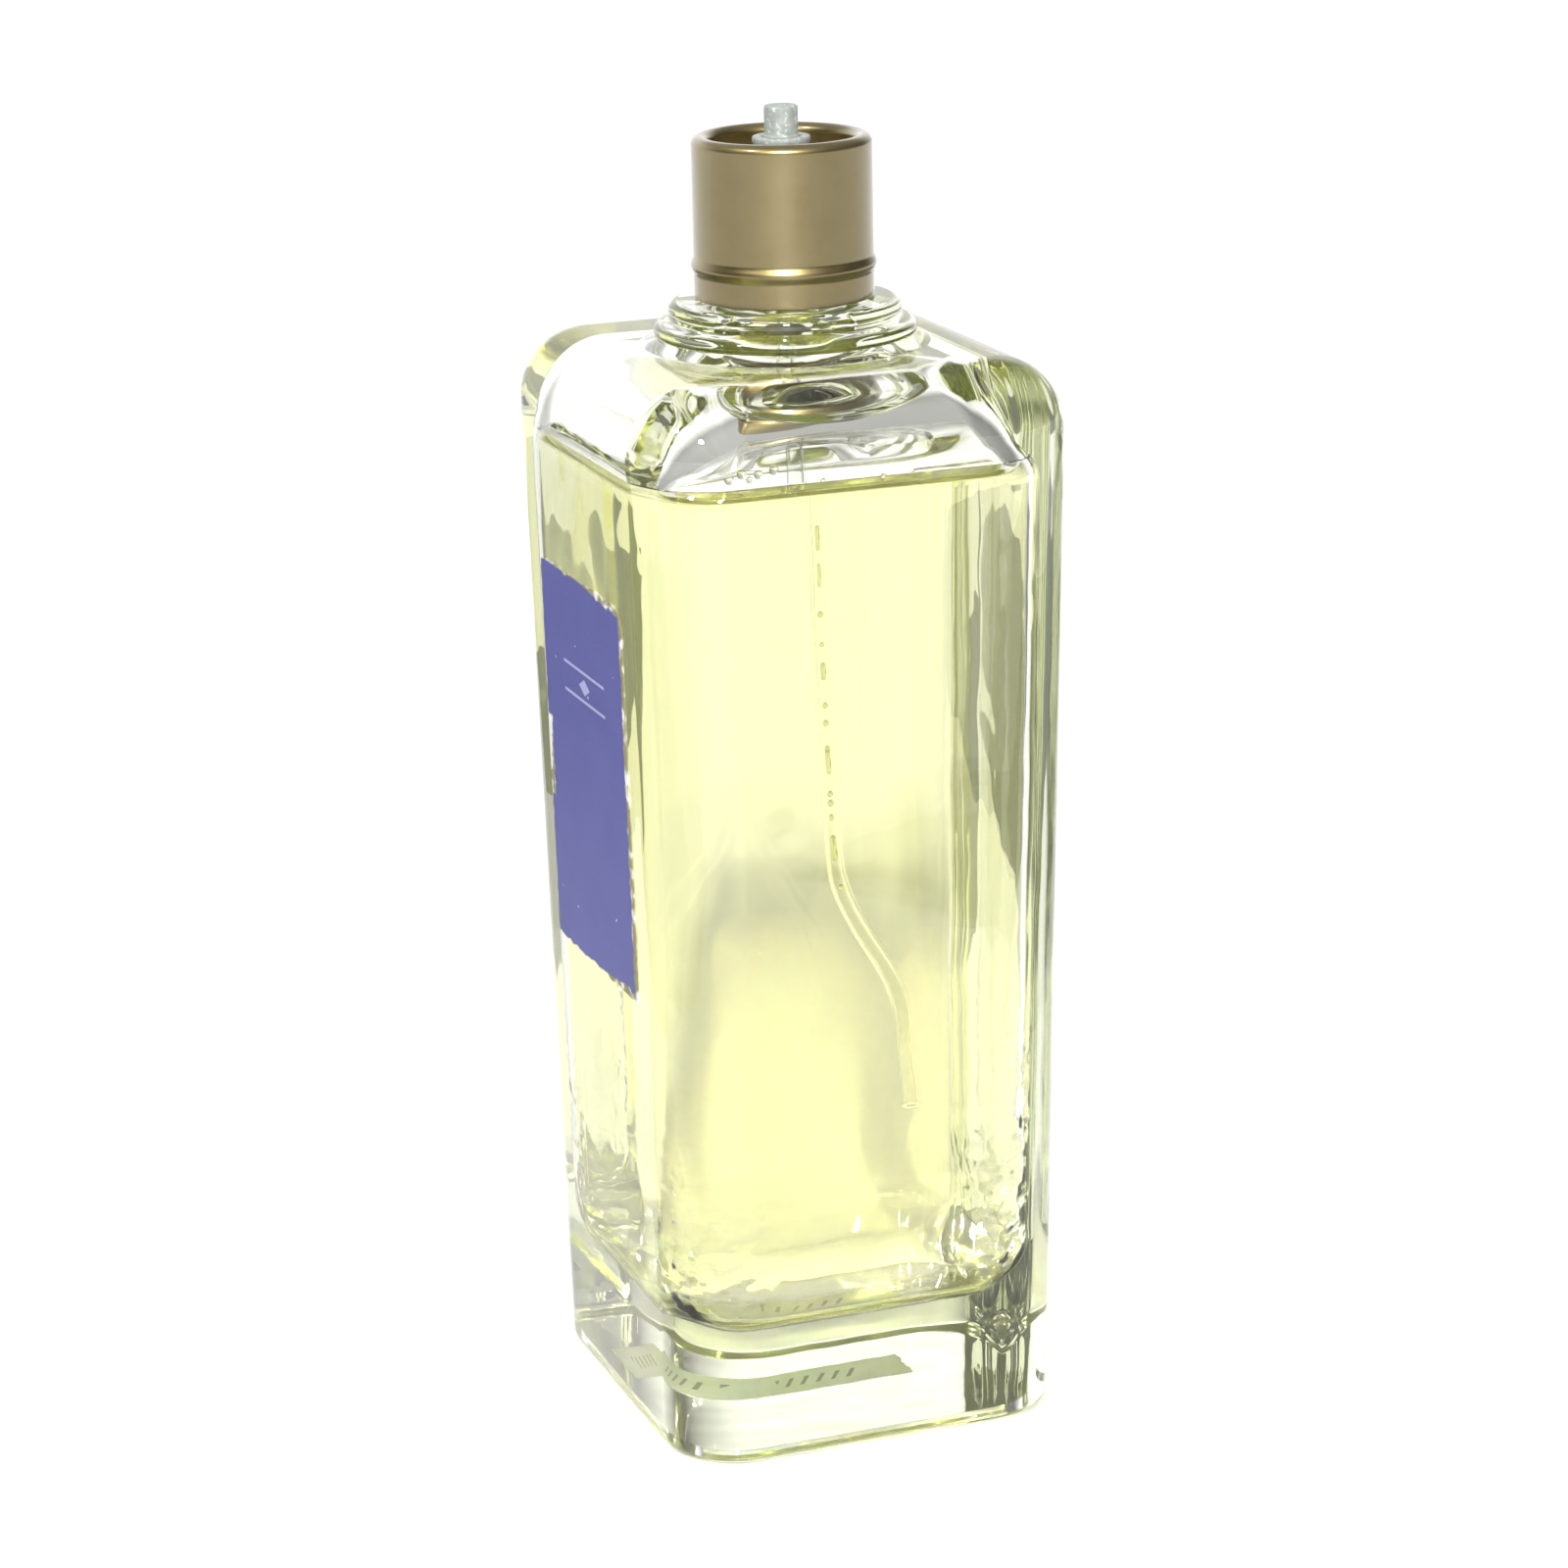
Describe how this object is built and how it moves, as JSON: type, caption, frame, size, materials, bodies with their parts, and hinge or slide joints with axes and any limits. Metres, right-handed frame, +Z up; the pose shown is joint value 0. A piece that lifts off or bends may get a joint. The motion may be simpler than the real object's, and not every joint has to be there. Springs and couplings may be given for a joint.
{
  "type": "aftershave bottle",
  "caption": "Square clear-glass aftershave bottle of pale yellow lotion, with a gold collar over a crimped mist pump whose bare stem presses down.",
  "frame": {"origin": "centre of the foot, on the surface that the bottle stands on", "axes": "+Z up along the pump stem, -Y towards the front label"},
  "size_m": [0.0478, 0.0452, 0.1341],
  "materials": {
    "clear_glass": "gloss",
    "yellow_lotion": "gloss",
    "label_paper": "satin",
    "sticker_paper": "matte",
    "gold_metal": "satin",
    "bare_aluminium": "satin",
    "white_plastic": "satin",
    "frosted_plastic": "satin",
    "grey_plastic": "satin",
    "tube_plastic": "gloss",
    "black_rubber": "matte",
    "spring_steel": "polished"
  },
  "bodies": {
    "bottle": {"glass_bottle": "clear_glass", "lotion": "yellow_lotion", "front_label": "label_paper", "base_label": "sticker_paper", "collar": "gold_metal", "collar_liner": "white_plastic", "crimp_cup": "bare_aluminium", "neck_gasket": "black_rubber", "turret": "frosted_plastic", "stem_seal": "black_rubber", "pump_housing": "grey_plastic", "spring_seat": "white_plastic", "dip_tube": "tube_plastic", "valve_spring": "spring_steel", "return_spring": "spring_steel"},
    "pump_stem": {"stem": "frosted_plastic", "piston": "white_plastic"},
    "poppet": {"valve_pin": "white_plastic"},
    "check_ball": {"inlet_ball": "spring_steel"}
  },
  "joints": [
    {"name": "stem_press", "type": "slide", "parent": "bottle", "child": "pump_stem", "axis": [0, 0, -1], "range_m": [0, 0.0026], "stiffness_N_per_m": 600, "springref_m": -0.004, "deforming": ["return_spring", "valve_spring"]},
    {"name": "poppet_open", "type": "slide", "parent": "pump_stem", "child": "poppet", "axis": [0, 0, -1], "range_m": [0, 0.0004], "stiffness_N_per_m": 300, "springref_m": -0.002, "deforming": ["valve_spring"]},
    {"name": "ball_lift", "type": "slide", "parent": "bottle", "child": "check_ball", "axis": [0, 0, 1], "range_m": [0, 0.0006]}
  ]
}
